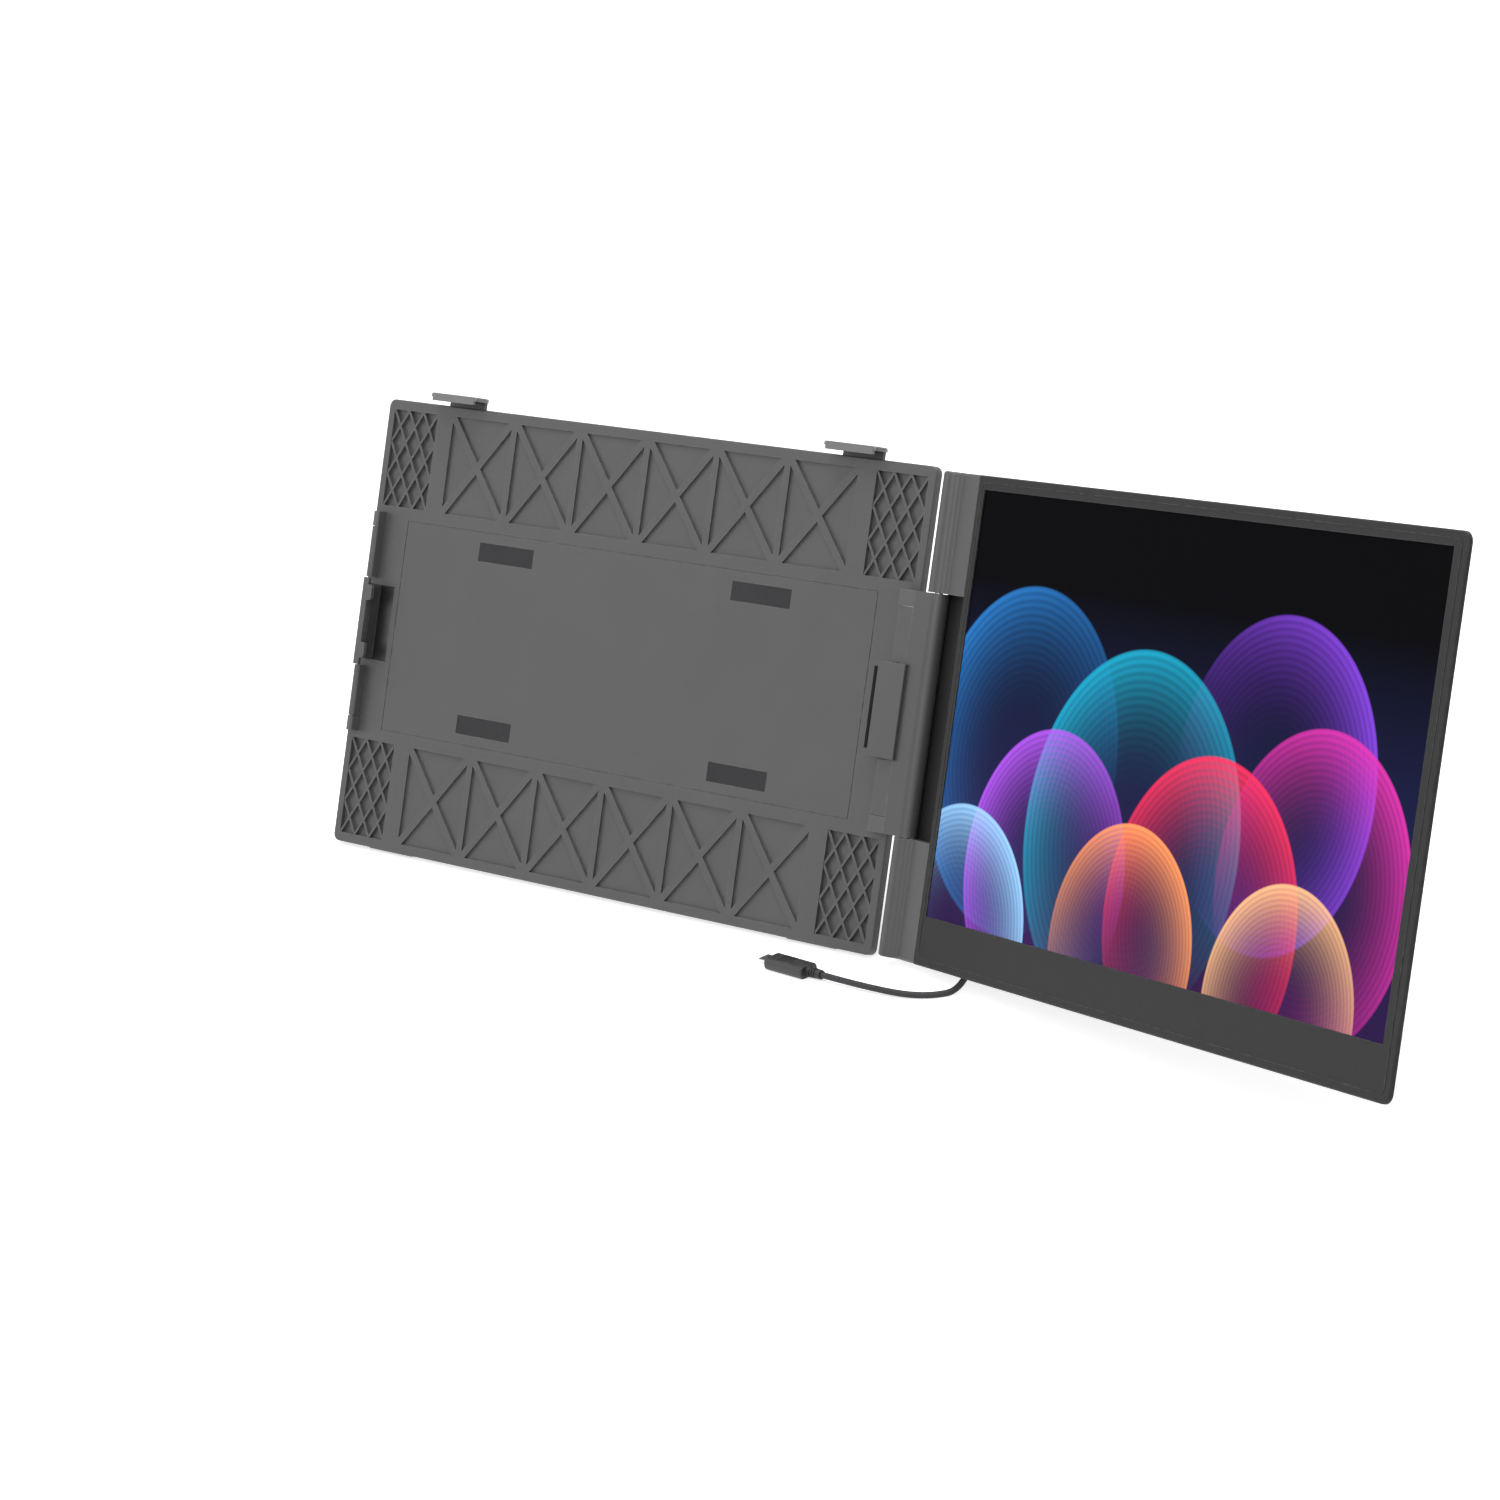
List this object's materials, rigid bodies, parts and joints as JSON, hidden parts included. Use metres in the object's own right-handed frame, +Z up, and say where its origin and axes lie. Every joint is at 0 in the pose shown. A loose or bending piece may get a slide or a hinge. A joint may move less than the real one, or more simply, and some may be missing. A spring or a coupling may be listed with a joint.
{
  "type": "laptop screen extender",
  "caption": "Add-on display for a laptop: a backing frame that grips the lid with side clamps and top hooks, and a wide screen on a hinge at its side, with a short plug-in lead.",
  "frame": {"origin": "centre of the frame's front face, where the back of the laptop lid rests", "axes": "+X to the right along the lid, towards the hinge and the added screen; +Y to the back; +Z straight up. The frame leans back with the lid and the screen is swung forward as in use"},
  "size_m": [0.7768, 0.2187, 0.2739],
  "materials": {
    "frame_plastic": "satin, fine moulded grain",
    "band_plastic": "satin",
    "tile_plastic": "half-gloss",
    "barrel_plastic": "satin",
    "screen_plastic": "satin, fine moulded grain",
    "slide_plastic": "smooth, low friction",
    "sheet_metal": "rolled sheet",
    "stem_metal": "satin paint",
    "hinge_steel": "turned and ground",
    "screw_steel": "black zinc",
    "pad_rubber": "matte",
    "brake_rubber": "matte",
    "display": "smooth, lit from behind",
    "backlight": "white film",
    "speaker_plastic": "smooth",
    "board": "lacquered board",
    "connector_steel": "nickel plated",
    "button_plastic": "satin",
    "lamp": "milky light pipe",
    "plug_plastic": "satin",
    "cord_jacket": "soft matte jacket"
  },
  "bodies": {
    "frame": {"frame_front_cover": "frame_plastic", "frame_back_cover": "frame_plastic", "frame_screws": "screw_steel", "frame_stiffener": "sheet_metal", "lid_pads": "pad_rubber", "frame_feet": "pad_rubber", "band_block_right": "band_plastic", "band_block_left": "band_plastic", "band_end_tiles": "tile_plastic", "slide_rails": "slide_plastic", "slide_keepers": "slide_plastic", "knuckle_center": "barrel_plastic", "hinge_socket_upper": "hinge_steel", "hinge_socket_lower": "hinge_steel"},
    "clamp_right": {"clamp_right_jaw": "frame_plastic", "clamp_right_slide": "sheet_metal", "clamp_right_pad": "pad_rubber", "clamp_right_shoe": "brake_rubber", "clamp_right_screws": "screw_steel"},
    "clamp_left": {"clamp_left_jaw": "frame_plastic", "clamp_left_slide": "sheet_metal", "clamp_left_pad": "pad_rubber", "clamp_left_shoe": "brake_rubber", "clamp_left_screws": "screw_steel"},
    "hook_left": {"hook_left_bar": "frame_plastic", "hook_left_stem": "stem_metal", "hook_left_brake": "brake_rubber", "hook_left_pad": "pad_rubber"},
    "hook_right": {"hook_right_bar": "frame_plastic", "hook_right_stem": "stem_metal", "hook_right_brake": "brake_rubber", "hook_right_pad": "pad_rubber"},
    "screen": {"knuckle_upper": "barrel_plastic", "knuckle_lower": "barrel_plastic", "hinge_leaf_upper": "hinge_steel", "hinge_leaf_lower": "hinge_steel", "hinge_shaft_upper": "hinge_steel", "hinge_shaft_lower": "hinge_steel", "screen_back_cover": "screen_plastic", "screen_bezel": "screen_plastic", "display_panel": "display", "backlight_unit": "backlight", "screen_chassis": "sheet_metal", "screen_screws": "screw_steel", "speakers": "speaker_plastic", "hub_cover": "screen_plastic", "controller_board": "board", "usb_ports": "connector_steel", "video_port": "connector_steel", "status_lamp": "lamp", "port_plug_shell": "connector_steel", "port_plug_body": "plug_plastic", "port_plug_relief": "cord_jacket", "cord": "cord_jacket", "free_plug_relief": "cord_jacket", "free_plug_body": "plug_plastic", "free_plug_shell": "connector_steel"},
    "power_button": {"power_button": "button_plastic"},
    "plus_button": {"plus_button": "button_plastic"},
    "minus_button": {"minus_button": "button_plastic"}
  },
  "joints": [
    {"name": "screen_hinge", "type": "hinge", "parent": "frame", "child": "screen", "pos_m": [0.2037, -0.00056, 0.00021], "axis": [0, -0.3474, -0.9377], "range_deg": [-19.79, 136.2]},
    {"name": "clamp_right_slide", "type": "slide", "parent": "frame", "child": "clamp_right", "axis": [1, 0, 0], "range_m": [-0.012, 0.003]},
    {"name": "clamp_left_slide", "type": "slide", "parent": "frame", "child": "clamp_left", "axis": [-1, 0, 0], "range_m": [-0.012, 0.003]},
    {"name": "hook_left_slide", "type": "slide", "parent": "frame", "child": "hook_left", "axis": [0, 0.3474, 0.9377], "range_m": [-0.0037, 0.024]},
    {"name": "hook_right_slide", "type": "slide", "parent": "frame", "child": "hook_right", "axis": [0, 0.3474, 0.9377], "range_m": [-0.0037, 0.024]},
    {"name": "power_button_press", "type": "slide", "parent": "screen", "child": "power_button", "axis": [-0.3386, -0.8823, 0.3269], "range_m": [0, 0.0005], "stiffness_N_per_m": 1200},
    {"name": "plus_button_press", "type": "slide", "parent": "screen", "child": "plus_button", "axis": [-0.3386, -0.8823, 0.3269], "range_m": [0, 0.0005], "stiffness_N_per_m": 1200},
    {"name": "minus_button_press", "type": "slide", "parent": "screen", "child": "minus_button", "axis": [-0.3386, -0.8823, 0.3269], "range_m": [0, 0.0005], "stiffness_N_per_m": 1200}
  ]
}
